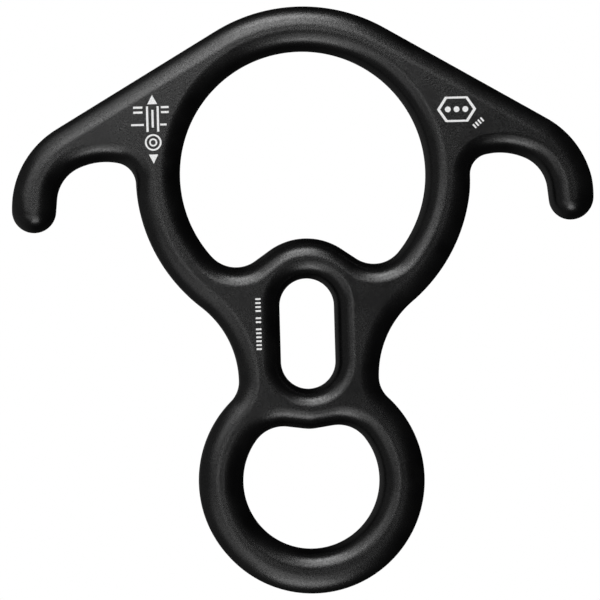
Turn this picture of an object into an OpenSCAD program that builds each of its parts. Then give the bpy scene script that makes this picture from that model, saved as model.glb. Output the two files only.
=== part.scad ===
// Rope descender, forged in one piece: a large eye, a small eye, a slot in the
// waist between them, and a hooked ear on each side of the large eye.
// It lies on one face. The thickness is along Z, the large eye is towards +Y,
// and x = 0 is the plane of symmetry.

/* [Rings] */
// Radius of the large eye
large_eye_radius = 35; // [31:0.1:42]
// Radius of the small eye
small_eye_radius = 19.4; // [17:0.1:23.4]
// Distance between the centres of the two eyes
eye_pitch = 86.9; // [82:0.1:105]
// Width of the bar that runs round both eyes
bar_width = 12.5; // [10.4:0.1:15]
// Thickness of the forging
thickness = 12.5; // [10.4:0.1:15]

/* [Rounded edges] */
// Width of the rounding along the outside
body_rounding = 5.6; // [4.6:0.1:6.7]
// Width of the rounding along the eyes and the slot
eye_rounding = 5.4; // [4.5:0.1:6.5]
// Height of the upright trimmed band along the outside
body_land = 4.5; // [3.7:0.1:5.4]
// Height of the upright trimmed band along the eyes and the slot
eye_land = 1; // [0.8:0.1:1.2]

/* [Waist] */
// Width of the waist at the neck, its narrowest place
neck_width = 39.4; // [36:0.1:47]
// Width of the slot
slot_width = 15.6; // [13:0.1:18.8]
// Width of the bridges between the slot and the two eyes
bridge_width = 11.4; // [9.4:0.1:13.7]
// Radius of the hollow where the small ring runs into the waist
waist_radius = 8; // [6.5:0.1:9.6]

/* [Large eye] */
// Height of the bump at the waist end of the large eye
large_bump_height = 16.8; // [14:0.1:20]
// Radius of that bump
large_bump_radius = 17.9; // [15:0.1:21.5]
// Radius of the two corners beside that bump
large_corner_radius = 9.3; // [7.7:0.1:11.1]
// Height of that bump above the ends of those corners
large_corner_depth = 7.7; // [6.4:0.1:9.2]

/* [Small eye] */
// Height of the bump at the waist end of the small eye
small_bump_height = 4.8; // [4:0.1:5.8]
// Radius of that bump
small_bump_radius = 10.8; // [9:0.1:13]
// Radius of the two corners beside that bump
small_corner_radius = 9.6; // [8:0.1:11.5]
// Height of that bump above the ends of those corners
small_corner_depth = 0.9; // [0.7:0.1:1.1]

/* [Ears] */
// Width across both ears
ear_span = 165.5; // [150:0.1:199]
// Width of the limb that hangs from the end of an ear
limb_width = 12.5; // [10.4:0.1:15]
// Depth of the round ear tips below the centre of the large eye
ear_drop = 8.5; // [7:0.1:10.2]
// Radius of the outer shoulder of an ear
shoulder_radius = 26.3; // [22:0.1:31.5]
// Height of the arch under an ear above the centre of the large eye
arch_height = 4.9; // [4:0.1:5.9]

/* [Hidden] */

// Furthest that a facet lies from its true curve
chord_error = 0.05;
// Facets across one rounded edge
edge_steps = 5;
// Two outline points nearer than this are one point
same_place = 0.01;

large_ring_radius = large_eye_radius + bar_width;
small_ring_radius = small_eye_radius + bar_width;
overall_length = large_ring_radius + eye_pitch + small_ring_radius;
large_y = overall_length / 2 - large_ring_radius;
small_y = small_ring_radius - overall_length / 2;

// The bumps in the eyes set the ends of the slot, one bridge away
large_bump_y = large_y - large_eye_radius + large_bump_height;
small_bump_y = small_y + small_eye_radius - small_bump_height;
slot_radius = slot_width / 2;
slot_top = [0, large_bump_y - bridge_width - slot_radius];
slot_bottom = [0, small_bump_y + bridge_width + slot_radius];

// Each eye's corners touch its circle from inside, and its bump is no rounder
// than one that touches both corners
large_corner = [
    side_step(large_eye_radius - large_corner_radius, large_bump_height - large_corner_depth
        + large_corner_radius - large_eye_radius),
    large_bump_y - large_corner_depth + large_corner_radius
];
small_corner = [
    side_step(small_eye_radius - small_corner_radius, small_bump_height - small_corner_depth
        + small_corner_radius - small_eye_radius),
    small_bump_y + small_corner_depth - small_corner_radius
];
large_bump = min(large_bump_radius,
    widest_bump(large_corner.x, large_corner_radius, large_corner_depth));
small_bump = min(small_bump_radius,
    widest_bump(small_corner.x, small_corner_radius, small_corner_depth));

// Two hollows on each side meet at the neck and touch the two rings
neck = neck_width / 2;
neck_y = small_y + side_step(small_ring_radius + waist_radius, neck + waist_radius);
flank_radius = (pow(neck, 2) + pow(large_y - neck_y, 2) - pow(large_ring_radius, 2))
    / (2 * (large_ring_radius - neck));
waist = [neck + waist_radius, neck_y];
flank = [neck + flank_radius, neck_y];

// Under each ear three hollow arcs, the notch, the arch and the limb's, fill the gap
// between the large ring and the limb: radii and place are in units of the gap
notch_share = 0.277;
arch_share = 0.8;
limb_share = 0.47;
arch_place = 0.383;
limb_direction = 66;
tip_radius = limb_width / 2;
ear_gap = ear_span / 2 - limb_width - large_ring_radius;
notch_radius = notch_share * ear_gap;
arch_radius = arch_share * ear_gap;
limb_radius = limb_share * ear_gap;
arch = [large_ring_radius + arch_place * ear_gap, large_y + arch_height - arch_radius];
limb = arch + (arch_radius - limb_radius) * unit(limb_direction);
large_centre = [0, large_y];
notch = touching(large_centre, large_ring_radius + notch_radius, arch, arch_radius - notch_radius);
tip = [ear_span / 2 - tip_radius, large_y - ear_drop];
shoulder = [ear_span / 2 - shoulder_radius, tip.y];
ear_slope = leaving(ring(shoulder, shoulder_radius), ring(large_centre, large_ring_radius));

// The roundings are limited by their walls, so a narrow flat crown is always left
rounding_share = 0.48;
shared_walls = [
    bar_width,
    neck - slot_radius,
    wall(large_corner, large_corner_radius, flank, flank_radius),
    wall(small_corner, small_corner_radius, waist, waist_radius)
];
ear_walls = [
    limb_width,
    for (angle = [0, ear_slope / 2, ear_slope])
        band(shoulder, shoulder_radius, limb, limb_radius, angle),
    band(large_centre, large_ring_radius, arch, arch_radius, ear_slope)
];
eye_walls = [
    bridge_width,
    wall(large_corner, large_corner_radius, slot_top, slot_radius),
    wall(small_corner, small_corner_radius, slot_bottom, slot_radius)
];
body_edge = min(body_rounding, rounding_share * min(concat(shared_walls, ear_walls)));
eye_edge = min(eye_rounding, rounding_share * min(concat(shared_walls, eye_walls)));

function unit(angle) = [cos(angle), sin(angle)];
function ring(centre, radius) = [centre.x, centre.y, radius];
function side_step(slant, rise) = sqrt(max(0, pow(slant, 2) - pow(rise, 2)));

// Metal between two circles that lie apart, and between one and a hollow that it goes round
function wall(p, p_radius, q, q_radius) = norm(p - q) - p_radius - q_radius;
function band(p, p_radius, q, q_radius, angle) = p_radius - q_radius + (p - q) * unit(angle);

// Radius of the bump that touches both corners, each x away from the middle
function widest_bump(x, radius, depth) =
    (pow(x, 2) + pow(radius - depth, 2) - pow(radius, 2)) / (2 * depth);

// Left-hand crossing of two circles, seen from the first centre towards the second
function touching(first, first_radius, second, second_radius) =
    let (gap = second - first)
    let (along = (pow(first_radius, 2) - pow(second_radius, 2) + gap * gap) / (2 * norm(gap)))
    first + (along * gap + side_step(first_radius, along) * [-gap.y, gap.x]) / norm(gap);

// A belt runs round a row of circles, each [x, y, radius]. It turns left round a
// circle of positive radius and right round one of negative radius. Each of its
// points is [place, normal], and the normal points to the belt's right.
function belt(row, first_angle, last_angle) =
    let (last = len(row) - 1)
    let (angles = [first_angle, for (i = [1 : last]) leaving(row[i - 1], row[i]), last_angle])
    let (path = [for (i = [0 : last]) each arc(row[i], angles[i], angles[i + 1])])
    [for (i = [0 : len(path) - 1])
        if (i == 0 || norm(path[i][0] - path[i - 1][0]) > same_place) path[i]];

// Angle of the normal where the belt leaves one circle for the next
function leaving(one, next) =
    let (gap = [next.x - one.x, next.y - one.y])
    let (lean = (one.z - next.z) / norm(gap))
    atan2(gap.y, gap.x) - acos(max(-1, min(1, lean)));

function arc(one, from, to) =
    let (side = sign(one.z))
    let (raw = side * (to - from) + 90)
    let (sweep = side * (raw - 360 * floor(raw / 360) - 90))
    let (steps = ceil(abs(sweep) / (2 * acos(1 - chord_error / abs(one.z)))))
    [for (i = [0 : max(1, steps)])
        let (normal = unit(from + sweep * i / max(1, steps)))
        [[one.x, one.y] + one.z * normal, normal]];

// Right half of an outline and its mirror image, as one closed loop
function loop(half) =
    concat(half, [for (i = [len(half) - 2 : -1 : 1])
        [for (v = half[i]) [-v.x, v.y]]]);

// Rounded edge from the lower face to the upper one, as steps of [inset, height]
function edge(rounding, land) =
    let (rise = (thickness - land) / 2)
    let (lower = [for (i = [edge_steps : -1 : 0])
        let (angle = 90 * i / edge_steps)
        [rounding * (1 - cos(angle)), rise * (1 - sin(angle))]])
    concat(lower, [for (i = [edge_steps : -1 : 0]) [lower[i][0], thickness - lower[i][1]]]);

body_outline = loop(belt([
    [0, small_y, small_ring_radius],
    ring(waist, -waist_radius),
    ring(flank, -flank_radius),
    ring(large_centre, large_ring_radius),
    ring(notch, -notch_radius),
    ring(arch, -arch_radius),
    ring(limb, -limb_radius),
    ring(tip, tip_radius),
    ring(shoulder, shoulder_radius),
    ring(large_centre, large_ring_radius)
], -90, 90));

large_eye_outline = loop(belt([
    [0, large_bump_y - large_bump, -large_bump],
    ring(large_corner, large_corner_radius),
    ring(large_centre, large_eye_radius)
], -90, 90));

slot_outline = loop(belt([ring(slot_bottom, slot_radius), ring(slot_top, slot_radius)], -90, 90));

small_eye_outline = loop(belt([
    [0, small_y, small_eye_radius],
    ring(small_corner, small_corner_radius),
    [0, small_bump_y + small_bump, -small_bump]
], -90, 90));

// Each wall is [outline, edge, side]: an inset moves along side times the normal
WALLS = [
    [body_outline, edge(body_edge, body_land), -1],
    [large_eye_outline, edge(eye_edge, eye_land), 1],
    [slot_outline, edge(eye_edge, eye_land), 1],
    [small_eye_outline, edge(eye_edge, eye_land), 1]
];

function size(w) = len(WALLS[w][0]);
function levels(w) = len(WALLS[w][1]);
function start(w) = w == 0 ? 0 : start(w - 1) + size(w - 1) * levels(w - 1);
function inset(w, i, level) = WALLS[w][0][i][0] + WALLS[w][2] * WALLS[w][1][level][0] * WALLS[w][0][i][1];

function skin(w) =
    [for (level = [0 : levels(w) - 2]) for (i = [0 : size(w) - 1])
        let (n = size(w))
        let (a = start(w) + level * n + i)
        let (b = start(w) + level * n + (i + 1) % n)
        each WALLS[w][2] < 0 ? [[a, a + n, b + n], [a, b + n, b]] : [[a, b + n, a + n], [a, b, b + n]]];

// The right half of a flat face is one ring of corners [x, y, wall, number],
// up the outside and down past the eyes and the slot along x = 0
face_ring = [
    for (i = [0 : size(0) / 2]) corner(0, i),
    for (w = [1 : 3]) for (i = [size(w) / 2 : -1 : 0]) corner(w, i)
];

function corner(w, i) =
    let (place = inset(w, i, 0))
    [place.x, place.y, w, i];

function area(a, b, c) = (b.x - a.x) * (c.y - a.y) - (b.y - a.y) * (c.x - a.x);
function square(a, b) = pow(b.x - a.x, 2) + pow(b.y - a.y, 2);
function shape(a, b, c) = area(a, b, c) / (square(a, b) + square(b, c) + square(c, a));
function covers(a, b, c, p) = min(area(a, b, p), area(b, c, p), area(c, a, p)) >= 0;

// Cuts the best-shaped triangle off the ring until none is left
function fill(corners, done = []) =
    let (n = len(corners))
    n < 3 ? done
    : let (cuts = [for (i = [0 : n - 1]) [corners[(i + n - 1) % n], corners[i], corners[(i + 1) % n]]])
      let (i = best(corners, cuts, [for (t = cuts) shape(t[0], t[1], t[2])]))
      fill([for (k = [0 : n - 1]) if (k != i) corners[k]], concat(done, [cuts[i]]));

// Number of the triangle with the highest score that has no other corner in it
function best(corners, triangles, scores) =
    let (i = search(max(scores), scores)[0])
    let (t = triangles[i])
    let (others = [for (p = corners) if (p != t[0] && p != t[1] && p != t[2]) p])
    len([for (p = others) if (covers(t[0], t[1], t[2], p)) p]) == 0
        ? i
        : best(corners, triangles, [for (k = [0 : len(scores) - 1]) k == i ? -1 : scores[k]]);

function upper(p) = start(p[2]) + (levels(p[2]) - 1) * size(p[2]) + p[3];
function lower(p) = start(p[2]) + p[3];
function left(p) = [-p.x, p.y, p[2], (size(p[2]) - p[3]) % size(p[2])];

module forged_body() {
    places = [for (w = [0 : 3]) for (level = [0 : levels(w) - 1]) for (i = [0 : size(w) - 1])
        let (place = inset(w, i, level))
        [place.x, place.y, WALLS[w][1][level][1]]];
    flats = [for (t = fill(face_ring)) each [
        [upper(t[2]), upper(t[1]), upper(t[0])],
        [lower(t[0]), lower(t[1]), lower(t[2])],
        [upper(left(t[0])), upper(left(t[1])), upper(left(t[2]))],
        [lower(left(t[2])), lower(left(t[1])), lower(left(t[0]))]
    ]];
    color("#1c1d1f") polyhedron(places, concat([for (w = [0 : 3]) each skin(w)], flats), convexity = 8);
}

forged_body();
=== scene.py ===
"""Rope descender: the forged body with its finish and marks, on a pale floor in soft studio light."""

import math
from collections import Counter

import bpy
from mathutils import Matrix, Vector, noise
from mathutils.geometry import delaunay_2d_cdt
from mathutils.kdtree import KDTree


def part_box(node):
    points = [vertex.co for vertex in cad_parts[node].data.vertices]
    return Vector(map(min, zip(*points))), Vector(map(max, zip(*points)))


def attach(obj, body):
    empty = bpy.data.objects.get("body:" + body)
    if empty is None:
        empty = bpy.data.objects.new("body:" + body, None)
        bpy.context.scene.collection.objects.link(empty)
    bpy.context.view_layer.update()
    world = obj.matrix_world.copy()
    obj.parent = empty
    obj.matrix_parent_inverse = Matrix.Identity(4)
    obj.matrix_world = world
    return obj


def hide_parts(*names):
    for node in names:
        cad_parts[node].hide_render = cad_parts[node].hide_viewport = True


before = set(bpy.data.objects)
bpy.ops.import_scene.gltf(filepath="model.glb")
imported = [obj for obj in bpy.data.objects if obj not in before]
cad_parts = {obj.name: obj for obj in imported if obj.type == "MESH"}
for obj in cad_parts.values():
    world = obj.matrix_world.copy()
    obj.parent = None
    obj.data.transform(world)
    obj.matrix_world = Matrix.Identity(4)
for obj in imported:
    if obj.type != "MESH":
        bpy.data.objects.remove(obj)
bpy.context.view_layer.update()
node_low, node_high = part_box("forged_body")

MM = 0.001

# ---------------------------------------------------------------- sizes, in mm

EAR_SPAN = (node_high.x - node_low.x) / MM
LENGTH = (node_high.y - node_low.y) / MM
THICKNESS = (node_high.z - node_low.z) / MM

BAR = 12.5
LARGE_EYE = 35.0
SMALL_EYE = 19.4
LARGE_RING = LARGE_EYE + BAR
SMALL_RING = SMALL_EYE + BAR
LARGE_Y = LENGTH / 2 - LARGE_RING
SMALL_Y = SMALL_RING - LENGTH / 2

# Full rounds, as width and rise: the eyes, the slot and the ears' mouths
EYE_EDGE_WIDTH, SLOT_EDGE_WIDTH, EYE_EDGE_RISE = 5.9, 5.45, 5.6
MOUTH_EDGE_WIDTH, MOUTH_EDGE_RISE = 5.6, 5.75
# An opening's rounding takes up at most this share of the bar beside it
BAR_SHARE = 0.478
# The rest of the outside: a shallow crown, up to a tilt in degrees, and a corner of small radius
CROWN_WIDTH, CROWN_TILT, CROWN_CORNER = 5.6, 41, 0.6
# Each of the two kinds runs into the other over this length to both sides
BLEND = 5.0

LARGE_BUMP, LARGE_BUMP_HEIGHT = 17.9, 16.8
LARGE_CORNER, LARGE_CORNER_DEPTH = 9.3, 7.7
SMALL_BUMP, SMALL_BUMP_HEIGHT = 10.8, 4.8
SMALL_CORNER, SMALL_CORNER_DEPTH = 9.6, 0.9
SLOT = 7.8
BRIDGE = 11.4

NECK = 19.7
WAIST = 8.0

LIMB = 12.5
EAR_DROP = 8.5
SHOULDER = 26.3
ARCH_HEIGHT = 4.9
# Radii in an ear's mouth and the arch's place, as shares of the gap between the ring and the limb
ARCH_SHARE, LIMB_SHARE, NOTCH_SHARE = 0.8, 0.47, 0.277
ARCH_PLACE = 0.383
ARCH_END = 66

# ---------------------------------------------------------------- outlines


def unit(angle):
    return math.cos(math.radians(angle)), math.sin(math.radians(angle))


def side_step(slant, rise):
    return math.sqrt(max(0.0, slant * slant - rise * rise))


def widest_bump(x, radius, depth):
    return (x * x + (radius - depth) ** 2 - radius * radius) / (2 * depth)


def touching(p, p_radius, q, q_radius):
    """Left-hand crossing of two circles, seen from p towards q."""
    gx, gy = q[0] - p[0], q[1] - p[1]
    gap = math.hypot(gx, gy)
    along = (p_radius**2 - q_radius**2 + gap * gap) / (2 * gap)
    across = side_step(p_radius, along)
    return p[0] + (along * gx - across * gy) / gap, p[1] + (along * gy + across * gx) / gap


def leaving(one, other):
    """Angle of the normal where the belt leaves one circle for the other."""
    gx, gy = other[0] - one[0], other[1] - one[1]
    lean = (one[2] - other[2]) / math.hypot(gx, gy)
    return math.degrees(math.atan2(gy, gx) - math.acos(max(-1.0, min(1.0, lean))))


CHORD = 0.004
LONGEST_STEP = 1.6
SHORTEST_STEP = 0.01


def arc(one, start, end):
    """Points of a circle (x, y, radius and perhaps mouth) between two angles of its normal."""
    x, y, radius, mouth = (*one, 0.0)[:4]
    side = 1 if radius > 0 else -1
    sweep = side * ((side * (end - start) + 90) % 360 - 90)
    steps = max(1, math.ceil(abs(sweep) / math.degrees(2 * math.acos(1 - CHORD / abs(radius)))))
    for i in range(steps + 1):
        nx, ny = unit(start + sweep * i / steps)
        yield x + radius * nx, y + radius * ny, nx, ny, mouth


def belt(row):
    """Points (x, y, normal x, normal y, mouth) round a row of circles, mirrored in x = 0 as a closed loop.

    mouth is 1 on the circles that have it as their fourth number, and 0 on the others.
    """
    last = len(row) - 1
    angles = [-90] + [leaving(row[i], row[i + 1]) for i in range(last)] + [90]
    half = []
    for i in range(last + 1):
        for p in arc(row[i], angles[i], angles[i + 1]):
            if half:
                q = half[-1]
                gap = math.hypot(p[0] - q[0], p[1] - q[1])
                if gap < SHORTEST_STEP:
                    continue
                extra = math.ceil(gap / LONGEST_STEP)
                for k in range(1, extra):
                    t = k / extra
                    half.append(tuple(a + (b - a) * t for a, b in zip(q, p)))
            half.append(p)
    return half + [(-x, y, -nx, ny, mouth) for x, y, nx, ny, mouth in half[-2:0:-1]]


def softened(loop, reach):
    """The loop with its mouth values averaged over reach mm to each side along it."""
    count = len(loop)
    steps = [math.hypot(b[0] - a[0], b[1] - a[1]) for a, b in zip(loop, loop[1:] + loop[:1])]
    result = []
    for i, point in enumerate(loop):
        total, weight = 0.0, 0.0
        for way in (1, -1):
            gone, j = 0.0, i
            while gone < reach:
                step = steps[j % count] if way > 0 else steps[(j - 1) % count]
                step = min(step, reach - gone)
                middle = (loop[j % count][4] + loop[(j + way) % count][4]) / 2
                total += middle * step
                weight += step
                gone += step + 1e-9
                j += way
        result.append((*point[:4], total / weight))
    return result


def outlines():
    """The closed loops seen from above: the outside of the body, and its three openings."""
    large_bump_y = LARGE_Y - LARGE_EYE + LARGE_BUMP_HEIGHT
    small_bump_y = SMALL_Y + SMALL_EYE - SMALL_BUMP_HEIGHT
    slot_top = large_bump_y - BRIDGE - SLOT
    slot_bottom = small_bump_y + BRIDGE + SLOT

    large_drop = LARGE_CORNER_DEPTH - LARGE_CORNER
    small_drop = SMALL_CORNER_DEPTH - SMALL_CORNER
    large_corner = (
        side_step(LARGE_EYE - LARGE_CORNER, LARGE_BUMP_HEIGHT - large_drop - LARGE_EYE),
        large_bump_y - large_drop,
    )
    small_corner = (
        side_step(SMALL_EYE - SMALL_CORNER, SMALL_BUMP_HEIGHT - small_drop - SMALL_EYE),
        small_bump_y + small_drop,
    )
    large_bump = min(LARGE_BUMP, widest_bump(large_corner[0], LARGE_CORNER, LARGE_CORNER_DEPTH))
    small_bump = min(SMALL_BUMP, widest_bump(small_corner[0], SMALL_CORNER, SMALL_CORNER_DEPTH))

    neck_y = SMALL_Y + side_step(SMALL_RING + WAIST, NECK + WAIST)
    flank = (NECK**2 + (LARGE_Y - neck_y) ** 2 - LARGE_RING**2) / (2 * (LARGE_RING - NECK))

    gap = EAR_SPAN / 2 - LIMB - LARGE_RING
    arch_radius, limb_radius, notch_radius = ARCH_SHARE * gap, LIMB_SHARE * gap, NOTCH_SHARE * gap
    arch = (LARGE_RING + ARCH_PLACE * gap, LARGE_Y + ARCH_HEIGHT - arch_radius)
    way = unit(ARCH_END)
    limb = tuple(a + (arch_radius - limb_radius) * w for a, w in zip(arch, way))
    notch = touching((0, LARGE_Y), LARGE_RING + notch_radius, arch, arch_radius - notch_radius)
    tip_y = LARGE_Y - EAR_DROP

    return {
        "outside": softened(belt([
            (0, SMALL_Y, SMALL_RING),
            (NECK + WAIST, neck_y, -WAIST),
            (NECK + flank, neck_y, -flank),
            (0, LARGE_Y, LARGE_RING),
            (*notch, -notch_radius, 1.0),
            (*arch, -arch_radius, 1.0),
            (*limb, -limb_radius, 1.0),
            (EAR_SPAN / 2 - LIMB / 2, tip_y, LIMB / 2, 1.0),
            (EAR_SPAN / 2 - SHOULDER, tip_y, SHOULDER),
            (0, LARGE_Y, LARGE_RING),
        ]), BLEND),
        "large_eye": belt([
            (0, large_bump_y - large_bump, -large_bump),
            (*large_corner, LARGE_CORNER),
            (0, LARGE_Y, LARGE_EYE),
        ]),
        "slot": belt([(0, slot_bottom, SLOT), (0, slot_top, SLOT)]),
        "small_eye": belt([
            (0, SMALL_Y, SMALL_EYE),
            (*small_corner, SMALL_CORNER),
            (0, small_bump_y + small_bump, -small_bump),
        ]),
    }


# ---------------------------------------------------------------- marks, in mm


def bar(x, y, width, height):
    w, h = width / 2, height / 2
    return [(x - w, y - h), (x + w, y - h), (x + w, y + h), (x - w, y + h)]


def hoop(x, y, radius, stroke, steps):
    """A ring, as one quad for each step."""
    corners = [unit(360 * i / steps) for i in range(steps)]
    quads = []
    for (ax, ay), (bx, by) in zip(corners, corners[1:] + corners[:1]):
        quads.append([
            (x + ax * radius, y + ay * radius),
            (x + bx * radius, y + by * radius),
            (x + bx * (radius - stroke), y + by * (radius - stroke)),
            (x + ax * (radius - stroke), y + ay * (radius - stroke)),
        ])
    return quads


def load_mark(x):
    """Two arrowheads with a plain sign between them."""
    signs = [
        [(x - 1.4, 56.2), (x + 1.4, 56.2), (x, 58.8)],
        [(x - 1.3, 42.0), (x, 39.4), (x + 1.3, 42.0)],
        bar(x - 1.5, 52.0, 0.6, 7.2),
        bar(x + 1.5, 52.0, 0.6, 7.2),
        bar(x, 52.1, 0.6, 5.0),
        bar(x - 4.3, 50.4, 3.6, 0.55),
        bar(x + 3.0, 50.4, 1.8, 0.55),
        bar(x - 4.1, 55.3, 2.6, 0.6),
        bar(x - 4.1, 53.9, 2.6, 0.6),
        bar(x + 3.5, 55.3, 2.2, 0.6),
        bar(x + 3.5, 53.9, 2.2, 0.6),
    ]
    return signs + hoop(x, 45.4, 2.35, 0.5, 28) + hoop(x, 45.4, 1.15, 0.45, 20)


def maker_mark(x, y):
    """A plain long hexagon round three dots, with a row of small ticks beside it."""
    outer = [(5.6, 0.0), (3.2, 3.6), (-3.2, 3.6), (-5.6, 0.0), (-3.2, -3.6), (3.2, -3.6)]
    share = 0.84
    shapes = []
    for (ax, ay), (bx, by) in zip(outer, outer[1:] + outer[:1]):
        shapes.append([
            (x + ax, y + ay),
            (x + bx, y + by),
            (x + bx * share, y + by * share),
            (x + ax * share, y + ay * share),
        ])
    for step in (-2.5, 0.0, 2.5):
        shapes.append([(x + step + 0.85 * u, y + 0.85 * v) for u, v in (unit(30 * i) for i in range(12))])
    along, across = unit(40), unit(130)
    for i in range(4):
        cx, cy = x + 5.0 + i * 0.95 * along[0], y - 4.9 + i * 0.95 * along[1]
        shapes.append([
            (cx + a * 0.25 * along[0] + b * 0.7 * across[0], cy + a * 0.25 * along[1] + b * 0.7 * across[1])
            for a, b in ((-1, -1), (1, -1), (1, 1), (-1, 1))
        ])
    return shapes


def tally_mark(x, y):
    """Plain ticks in three groups, up the waist."""
    ticks = []
    for count in (6, 2, 4):
        for _ in range(count):
            ticks.append(bar(x, y + 0.35, 1.5, 0.5))
            y += 1.12
        y += 0.9
    return ticks


MARKS = load_mark(-42.5) + maker_mark(43.7, 52.8) + tally_mark(-14.2, -14.0)

# ---------------------------------------------------------------- body mesh

ROUND_STEPS = 16
CROWN_STEPS = 11
LAND_STEPS = 3
GRID = 2.4
ROW_HEIGHT = GRID * 0.866
CLEAR = 0.9
SAME_PLACE = 1e-6
SLIVER = 0.001
UNEVEN, UNEVEN_SPACING = 0.006, 11.0
BLACK, PALE = 0, 1


def full_round(width, rise):
    """(inset, height) rows of a quarter ellipse, from the flat face to the upright land."""
    rows = []
    for i in range(ROUND_STEPS + 1):
        c, s = unit(90 - 90 * i / ROUND_STEPS)
        rows.append((width * (1 - c), rise * (1 - s)))
    return rows


def crowned(width, tilt, corner):
    """Rows of a shallow arc that ends at a tilt, and a small corner from there to the upright land."""
    c, s = unit(tilt)
    crown = (width - corner * (1 - s)) / s
    rows = []
    for i in range(CROWN_STEPS + 1):
        now_c, now_s = unit(tilt * i / CROWN_STEPS)
        rows.append((width - crown * now_s, crown * (1 - now_c)))
    rise = rows[-1][1]
    for i in range(1, ROUND_STEPS - CROWN_STEPS + 1):
        now_c, now_s = unit(tilt + (90 - tilt) * i / (ROUND_STEPS - CROWN_STEPS))
        rows.append((corner * (1 - now_s), rise + corner * (c - now_c)))
    return rows


def edge_rows(low):
    """The whole edge from the lower face to the upper one, out of its lower half."""
    rise = low[-1][1]
    land = THICKNESS - 2 * rise
    middle = [(0.0, rise + land * k / LAND_STEPS) for k in range(1, LAND_STEPS)]
    return low + middle + [(inset, THICKNESS - z) for inset, z in reversed(low)]


def body_edge(mouth):
    """The edge of the outside: crowned where mouth is 0, and a full round where it is 1."""
    crown = crowned(CROWN_WIDTH, CROWN_TILT, CROWN_CORNER)
    full = full_round(MOUTH_EDGE_WIDTH, MOUTH_EDGE_RISE)
    return edge_rows([(a + (c - a) * mouth, b + (d - b) * mouth) for (a, b), (c, d) in zip(crown, full)])


def point_tree(points):
    tree = KDTree(len(points))
    for i, p in enumerate(points):
        tree.insert((p[0], p[1], 0.0), i)
    tree.balance()
    return tree


def distance(tree, x, y):
    return tree.find((x, y, 0.0))[2]


def wall_edges(name, walls):
    """The edge's rows at each point of a wall."""
    if name == "outside":
        return [body_edge(p[4]) for p in walls[name]]
    others = point_tree([p for other, loop in walls.items() if other != name for p in loop])
    widest = SLOT_EDGE_WIDTH if name == "slot" else EYE_EDGE_WIDTH
    widths = [min(widest, BAR_SHARE * distance(others, p[0], p[1])) for p in walls[name]]
    return [edge_rows(full_round(width, EYE_EDGE_RISE)) for width in widths]


def inside(loop, x, y):
    """Whether a closed polyline goes round the point."""
    hit = False
    for (ax, ay), (bx, by) in zip(loop, loop[-1:] + loop[:-1]):
        if (ay > y) != (by > y) and x < ax + (bx - ax) * (y - ay) / (by - ay):
            hit = not hit
    return hit


def on_face(rings, x, y):
    return inside(rings[0], x, y) and not any(inside(hole, x, y) for hole in rings[1:])


def sides(face):
    return list(zip(face, face[1:] + face[:1]))


def loops(rings):
    """The sides of closed rings whose points are numbered in one run."""
    found, first = [], 0
    for ring in rings:
        count = len(ring)
        found += [(first + i, first + (i + 1) % count) for i in range(count)]
        first += count
    return found


def inner_points(rings, taken):
    """A hexagonal grid over the face, clear of the points that are taken."""
    tree = point_tree(taken)
    reach = math.ceil(LENGTH / GRID)
    found = []
    for j in range(-reach, reach + 1):
        for i in range(-reach, reach + 1):
            x, y = (i + (j % 2) / 2) * GRID, j * ROW_HEIGHT
            near = abs(x) <= EAR_SPAN / 2 and abs(y) <= LENGTH / 2
            if near and distance(tree, x, y) >= CLEAR and on_face(rings, x, y):
                found.append((x, y))
    return found


def area(places, face):
    a, b, c = (places[i] for i in face)
    return abs((b - a).cross(c - a)) / 2


def without_slivers(places, faces, walls):
    """The faces but for slivers just outside a straight stretch, which have a side that nothing shares."""
    while True:
        shared = Counter(frozenset(side) for face in faces for side in sides(face))
        shared.update(frozenset(side) for side in walls)
        sound = [
            face for face in faces
            if area(places, face) > SLIVER or all(shared[frozenset(side)] > 1 for side in sides(face))
        ]
        if len(sound) == len(faces):
            return faces
        faces = sound


def fill_face(rings, marks):
    """Places and triangles between the rings, each place's number in the rings or -1, and marked flags."""
    border = [p for ring in rings for p in ring]
    points = border + [p for mark in marks for p in mark]
    points += inner_points(rings, points)

    flat = [Vector(p) for p in points]
    found = delaunay_2d_cdt(flat, loops(rings + marks), [], 0, SAME_PLACE, True)
    places, _, faces, origins = found[:4]
    tags = [next((k for k in origin if k < len(border)), -1) for origin in origins]

    def middle(face):
        return sum(places[i].x for i in face) / 3, sum(places[i].y for i in face) / 3

    place_of = {tag: i for i, tag in enumerate(tags)}
    walls = [(place_of[a], place_of[b]) for a, b in loops(rings)]
    kept = [tuple(face) for face in faces if on_face(rings, *middle(face))]
    kept = without_slivers(places, kept, walls)
    marked = [any(inside(mark, *middle(face)) for mark in marks) for face in kept]
    return places, kept, tags, marked


def sink(x, y, z):
    """How far the forging's skin lies under its true shape, which leaves it a little uneven."""
    return UNEVEN * (0.5 + 0.5 * noise.noise(Vector((x, y, z)) / UNEVEN_SPACING))


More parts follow.
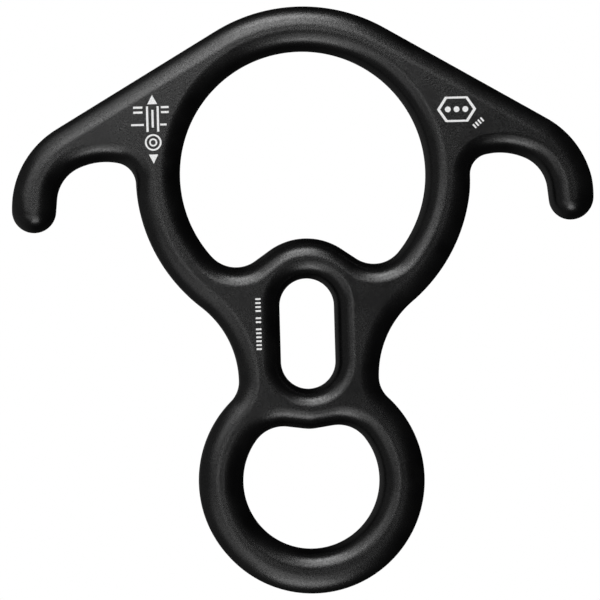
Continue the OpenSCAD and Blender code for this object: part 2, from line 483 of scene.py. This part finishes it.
class Skin:
    """The body's points, their outward normals, its faces, and each face's material slot."""

    def __init__(self):
        self.verts, self.normals, self.faces, self.slots = [], [], [], []

    def add_wall(self, points, edges, side):
        """Rows of points up a wall, whose rounding goes into its loop (side -1) or away from it (side 1)."""
        count, height = len(points), len(edges[0])
        start = len(self.verts)
        for k in range(height):
            for (x, y, nx, ny, _), rows in zip(points, edges):
                inset, z = rows[k]
                near, far = rows[max(0, k - 1)], rows[min(height - 1, k + 1)]
                di, dz = far[0] - near[0], far[1] - near[1]
                if k in (0, height - 1):
                    di, dz = (-1.0 if k == 0 else 1.0), 0.0
                size = math.hypot(di, dz)
                self.verts.append((x + side * inset * nx, y + side * inset * ny, z))
                self.normals.append((-side * nx * dz / size, -side * ny * dz / size, di / size))
        for k in range(height - 1):
            for i in range(count):
                a, b = start + k * count + i, start + k * count + (i + 1) % count
                face = (a, b, b + count, a + count)
                self.faces.append(face if side < 0 else (a, a + count, b + count, b))
                self.slots.append(BLACK)
        low = list(range(start, start + count))
        high = list(range(len(self.verts) - count, len(self.verts)))
        return low, high

    def add_face(self, borders, z, up, marks):
        """The flat face at height z between the walls' borders, with up 1 on top and -1 below."""
        rings = [[self.verts[i][:2] for i in border] for border in borders]
        numbers = [i for border in borders for i in border]
        places, kept, tags, marked = fill_face(rings, marks)
        index = []
        for place, tag in zip(places, tags):
            if tag < 0:
                index.append(len(self.verts))
                self.verts.append((place.x, place.y, z))
                self.normals.append((0.0, 0.0, float(up)))
            else:
                index.append(numbers[tag])
        for face, mark in zip(kept, marked):
            face = tuple(index[i] for i in face)
            a, b, c = (self.verts[i] for i in face)
            turn = (b[0] - a[0]) * (c[1] - a[1]) - (b[1] - a[1]) * (c[0] - a[0])
            self.faces.append(face if turn * up > 0 else face[::-1])
            self.slots.append(PALE if mark else BLACK)

    def mesh(self, name):
        placed = []
        for (x, y, z), (nx, ny, nz) in zip(self.verts, self.normals):
            d = sink(x, y, z)
            placed.append(((x - d * nx) * MM, (y - d * ny) * MM, (z - d * nz) * MM))
        mesh = bpy.data.meshes.new(name)
        mesh.from_pydata(placed, [], self.faces)
        mesh.polygons.foreach_set("use_smooth", [True] * len(self.faces))
        mesh.polygons.foreach_set("material_index", self.slots)
        mesh.update()
        mesh.normals_split_custom_set_from_vertices(self.normals)
        return mesh


def forged_mesh():
    walls = outlines()
    skin = Skin()
    borders = [
        skin.add_wall(points, wall_edges(name, walls), -1 if name == "outside" else 1)
        for name, points in walls.items()
    ]
    skin.add_face([high for _, high in borders], THICKNESS, 1, MARKS)
    skin.add_face([low for low, _ in borders], 0.0, -1, [])
    return skin.mesh("descender_body")


# ---------------------------------------------------------------- materials

# Noise scales, per metre
PATCHES, GRAIN, SPECKS, FINE_GRAIN, DRAG, LASER_SPECKS = 120, 1700, 2000, 6500, 1400, 3500
# Finish, and heights in metres
ROUGH, ROUGH_PATCHES, ROUGH_SPECKS = 0.26, 0.02, 0.03
DRAG_HEIGHT, DRAG_STRENGTH = 0.00004, 0.6
BAND_LOW, BAND_HIGH, BAND_FADE = 4.0 * MM, 8.5 * MM, 0.3 * MM
GRAIN_HEIGHT = 0.000025
SPARKLE = 0.14
DARK, LESS_DARK = (0.0012, 0.0012, 0.0013), (0.0028, 0.0028, 0.0029)


def new_material(name):
    material = bpy.data.materials.new(name)
    material.use_nodes = True
    tree = material.node_tree
    tree.nodes.clear()
    output = tree.nodes.new("ShaderNodeOutputMaterial")
    shader = tree.nodes.new("ShaderNodeBsdfPrincipled")
    tree.links.new(shader.outputs["BSDF"], output.inputs["Surface"])
    return material, tree, shader


def noise_node(tree, vector, scale, detail, roughness=0.5):
    node = tree.nodes.new("ShaderNodeTexNoise")
    node.inputs["Scale"].default_value = scale
    node.inputs["Detail"].default_value = detail
    node.inputs["Roughness"].default_value = roughness
    tree.links.new(vector, node.inputs["Vector"])
    return node.outputs["Fac"]


def ramp(tree, value, low, high, out_low, out_high):
    node = tree.nodes.new("ShaderNodeMapRange")
    for name, number in (("From Min", low), ("From Max", high), ("To Min", out_low), ("To Max", out_high)):
        node.inputs[name].default_value = number
    tree.links.new(value, node.inputs["Value"])
    return node.outputs["Result"]


def mix(tree, factor, a, b):
    node = tree.nodes.new("ShaderNodeMix")
    node.data_type = "RGBA"
    tree.links.new(factor, node.inputs["Factor"])
    for socket, value in (("A", a), ("B", b)):
        target = next(s for s in node.inputs if s.name == socket and s.type == "RGBA")
        if isinstance(value, tuple):
            target.default_value = (*value, 1.0)
        else:
            tree.links.new(value, target)
    return next(s for s in node.outputs if s.type == "RGBA")


def bump(tree, height, distance, strength, normal=None):
    node = tree.nodes.new("ShaderNodeBump")
    node.inputs["Distance"].default_value = distance
    node.inputs["Strength"].default_value = strength
    tree.links.new(height, node.inputs["Height"])
    if normal:
        tree.links.new(normal, node.inputs["Normal"])
    return node.outputs["Normal"]


def stretched(tree, vector, x, y, z):
    node = tree.nodes.new("ShaderNodeMapping")
    node.inputs["Scale"].default_value = (x, y, z)
    tree.links.new(vector, node.inputs["Vector"])
    return node.outputs["Vector"]


def combined(tree, operation, a, b):
    node = tree.nodes.new("ShaderNodeMath")
    node.operation = operation
    tree.links.new(a, node.inputs[0])
    tree.links.new(b, node.inputs[1])
    return node.outputs[0]


def drag_lines(tree, place):
    """Faint lines through the thickness, on the upright band where the flash was trimmed off."""
    split = tree.nodes.new("ShaderNodeSeparateXYZ")
    tree.links.new(place, split.inputs["Vector"])
    above = ramp(tree, split.outputs["Z"], BAND_LOW - BAND_FADE, BAND_LOW + BAND_FADE, 0, 1)
    below = ramp(tree, split.outputs["Z"], BAND_HIGH - BAND_FADE, BAND_HIGH + BAND_FADE, 1, 0)
    lines = noise_node(tree, stretched(tree, place, 1, 1, 0.04), DRAG, 2)
    return combined(tree, "MULTIPLY", combined(tree, "MULTIPLY", above, below), lines)


def anodised():
    """Black hard-anodised aluminium: satin, with the fine grain of a blasted forging."""
    material, tree, shader = new_material("anodised_black")
    place = tree.nodes.new("ShaderNodeTexCoord").outputs["Object"]
    patches = noise_node(tree, place, PATCHES, 4)
    specks = noise_node(tree, place, SPECKS, 2, 0.7)

    tone = mix(tree, ramp(tree, patches, 0.35, 0.65, 0, 1), DARK, LESS_DARK)
    tree.links.new(tone, shader.inputs["Base Color"])
    level = ramp(tree, specks, 0.3, 0.7, 0.5 - SPARKLE, 0.5 + SPARKLE)
    tree.links.new(level, shader.inputs["Specular IOR Level"])
    broad = ramp(tree, patches, 0.3, 0.7, ROUGH - ROUGH_PATCHES, ROUGH + ROUGH_PATCHES)
    small = ramp(tree, specks, 0.3, 0.7, ROUGH_SPECKS, -ROUGH_SPECKS)
    tree.links.new(combined(tree, "ADD", broad, small), shader.inputs["Roughness"])

    normal = bump(tree, drag_lines(tree, place), DRAG_HEIGHT, DRAG_STRENGTH)
    normal = bump(tree, noise_node(tree, place, GRAIN, 3, 0.6), GRAIN_HEIGHT, 1.0, normal)
    normal = bump(tree, noise_node(tree, place, FINE_GRAIN, 2, 0.6), GRAIN_HEIGHT / 2, 1.0, normal)
    tree.links.new(normal, shader.inputs["Normal"])
    shader.inputs["IOR"].default_value = 1.5
    return material


def lasered():
    """The pale grey that a laser leaves on black anodising."""
    material, tree, shader = new_material("laser_grey")
    place = tree.nodes.new("ShaderNodeTexCoord").outputs["Object"]
    speck = noise_node(tree, place, LASER_SPECKS, 3, 0.6)
    tone = mix(tree, ramp(tree, speck, 0.35, 0.65, 0, 1), (0.72, 0.72, 0.72), (0.95, 0.95, 0.95))
    tree.links.new(tone, shader.inputs["Base Color"])
    shader.inputs["Roughness"].default_value = 0.6
    return material


# ---------------------------------------------------------------- the piece

body = bpy.data.objects.new("descender_body", forged_mesh())
bpy.context.scene.collection.objects.link(body)
body.data.materials.append(anodised())
body.data.materials.append(lasered())
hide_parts("forged_body")
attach(body, "root")

# ---------------------------------------------------------------- camera

CAMERA_DISTANCE = 1.0
CAMERA_YAW, CAMERA_PITCH, CAMERA_ROLL = 4.0, -0.9, 1.6
LOOK_AT = (-1.86 * MM, 0.0, THICKNESS / 2 * MM)
VIEW_WIDTH = 170.5 * MM
SENSOR = 36.0

turn = (
    Matrix.Rotation(math.radians(CAMERA_ROLL), 4, "Z")
    @ Matrix.Rotation(math.radians(CAMERA_PITCH), 4, "X")
    @ Matrix.Rotation(math.radians(CAMERA_YAW), 4, "Y")
)
camera = bpy.data.objects.new("camera", bpy.data.cameras.new("camera"))
camera.matrix_world = (
    Matrix.Translation(LOOK_AT) @ turn.transposed() @ Matrix.Translation((0, 0, CAMERA_DISTANCE))
)
camera.data.sensor_width = SENSOR
camera.data.lens = SENSOR * CAMERA_DISTANCE / VIEW_WIDTH
bpy.context.scene.collection.objects.link(camera)
bpy.context.scene.camera = camera

# ---------------------------------------------------------------- floor and light


def plane(name, size, z):
    mesh = bpy.data.meshes.new(name)
    h = size / 2
    mesh.from_pydata([(-h, -h, z), (h, -h, z), (h, h, z), (-h, h, z)], [], [(0, 1, 2, 3)])
    obj = bpy.data.objects.new(name, mesh)
    bpy.context.scene.collection.objects.link(obj)
    return obj


def glow(name, colour, strength):
    material = bpy.data.materials.new(name)
    material.use_nodes = True
    tree = material.node_tree
    tree.nodes.clear()
    output = tree.nodes.new("ShaderNodeOutputMaterial")
    shader = tree.nodes.new("ShaderNodeEmission")
    shader.inputs["Color"].default_value = (*colour, 1)
    shader.inputs["Strength"].default_value = strength
    tree.links.new(shader.outputs["Emission"], output.inputs["Surface"])
    return material


FLOOR_SIZE = 8.0
SOFTBOX_DISTANCE = 1.0

# The floor glows white by itself, and neither lights the body nor shows in it
floor = plane("floor", FLOOR_SIZE, 0.0)
floor.data.materials.append(glow("pale_floor", (1, 1, 1), 1.0))
floor.visible_glossy = False
floor.visible_diffuse = False
floor.visible_shadow = False


def softbox(name, polar, bearing, distance, width, height, radiance):
    """An area light polar degrees off the vertical, towards bearing, aimed at the middle of the object."""
    light = bpy.data.lights.new(name, "AREA")
    light.shape = "RECTANGLE"
    light.size, light.size_y = width, height
    light.energy = radiance * math.pi * width * height
    obj = bpy.data.objects.new(name, light)
    c, s = unit(bearing)
    up, out = unit(polar)
    away = Vector((out * c, out * s, up))
    obj.location = away * distance
    obj.rotation_mode = "QUATERNION"
    obj.rotation_quaternion = away.to_track_quat("Z", "Y")
    obj.visible_camera = False
    bpy.context.scene.collection.objects.link(obj)
    return obj


# Name, degrees off the vertical, bearing, width and height in metres, and radiance
SOFTBOXES = [
    ("far_low", 46, 91, 0.42, 0.30, 8.9),
    ("far_high", 24, 93, 0.36, 0.36, 6.0),
    ("far_left", 45, 122, 0.45, 0.60, 1.0),
    ("left_high", 30, 150, 0.40, 0.40, 1.4),
    ("overhead", 8, 200, 0.20, 0.12, 3.8),
    ("near_high", 24, 264, 0.35, 0.35, 2.0),
    ("near_low", 46, 269, 0.42, 0.36, 4.2),
    ("near_left", 35, 220, 0.45, 0.45, 0.8),
]
for name, polar, bearing, width, height, radiance in SOFTBOXES:
    softbox(name, polar, bearing, SOFTBOX_DISTANCE, width, height, radiance)


def sky(base, lobes):
    """A dark studio whose walls glow a little: base all round, and lobes of (direction, radiance)."""
    world = bpy.data.worlds.new("studio")
    world.use_nodes = True
    tree = world.node_tree
    coords = tree.nodes.new("ShaderNodeTexCoord")
    total = None
    for direction, radiance in lobes:
        dot = tree.nodes.new("ShaderNodeVectorMath")
        dot.operation = "DOT_PRODUCT"
        dot.inputs[1].default_value = Vector(direction).normalized()
        tree.links.new(coords.outputs["Generated"], dot.inputs[0])
        add = tree.nodes.new("ShaderNodeMath")
        add.operation = "MULTIPLY_ADD"
        positive = tree.nodes.new("ShaderNodeMath")
        positive.operation = "MAXIMUM"
        positive.inputs[1].default_value = 0.0
        tree.links.new(dot.outputs["Value"], positive.inputs[0])
        tree.links.new(positive.outputs[0], add.inputs[0])
        add.inputs[1].default_value = radiance
        if total is None:
            add.inputs[2].default_value = base
        else:
            tree.links.new(total, add.inputs[2])
        total = add.outputs[0]
    background = tree.nodes["Background"]
    background.inputs["Color"].default_value = (1, 1, 1, 1)
    tree.links.new(total, background.inputs["Strength"])
    return world


bpy.context.scene.world = sky(0.008, [((-1, 0, 0), 0.2), ((0, -1, 0), 0.02)])
bpy.context.scene.view_settings.view_transform = "Standard"
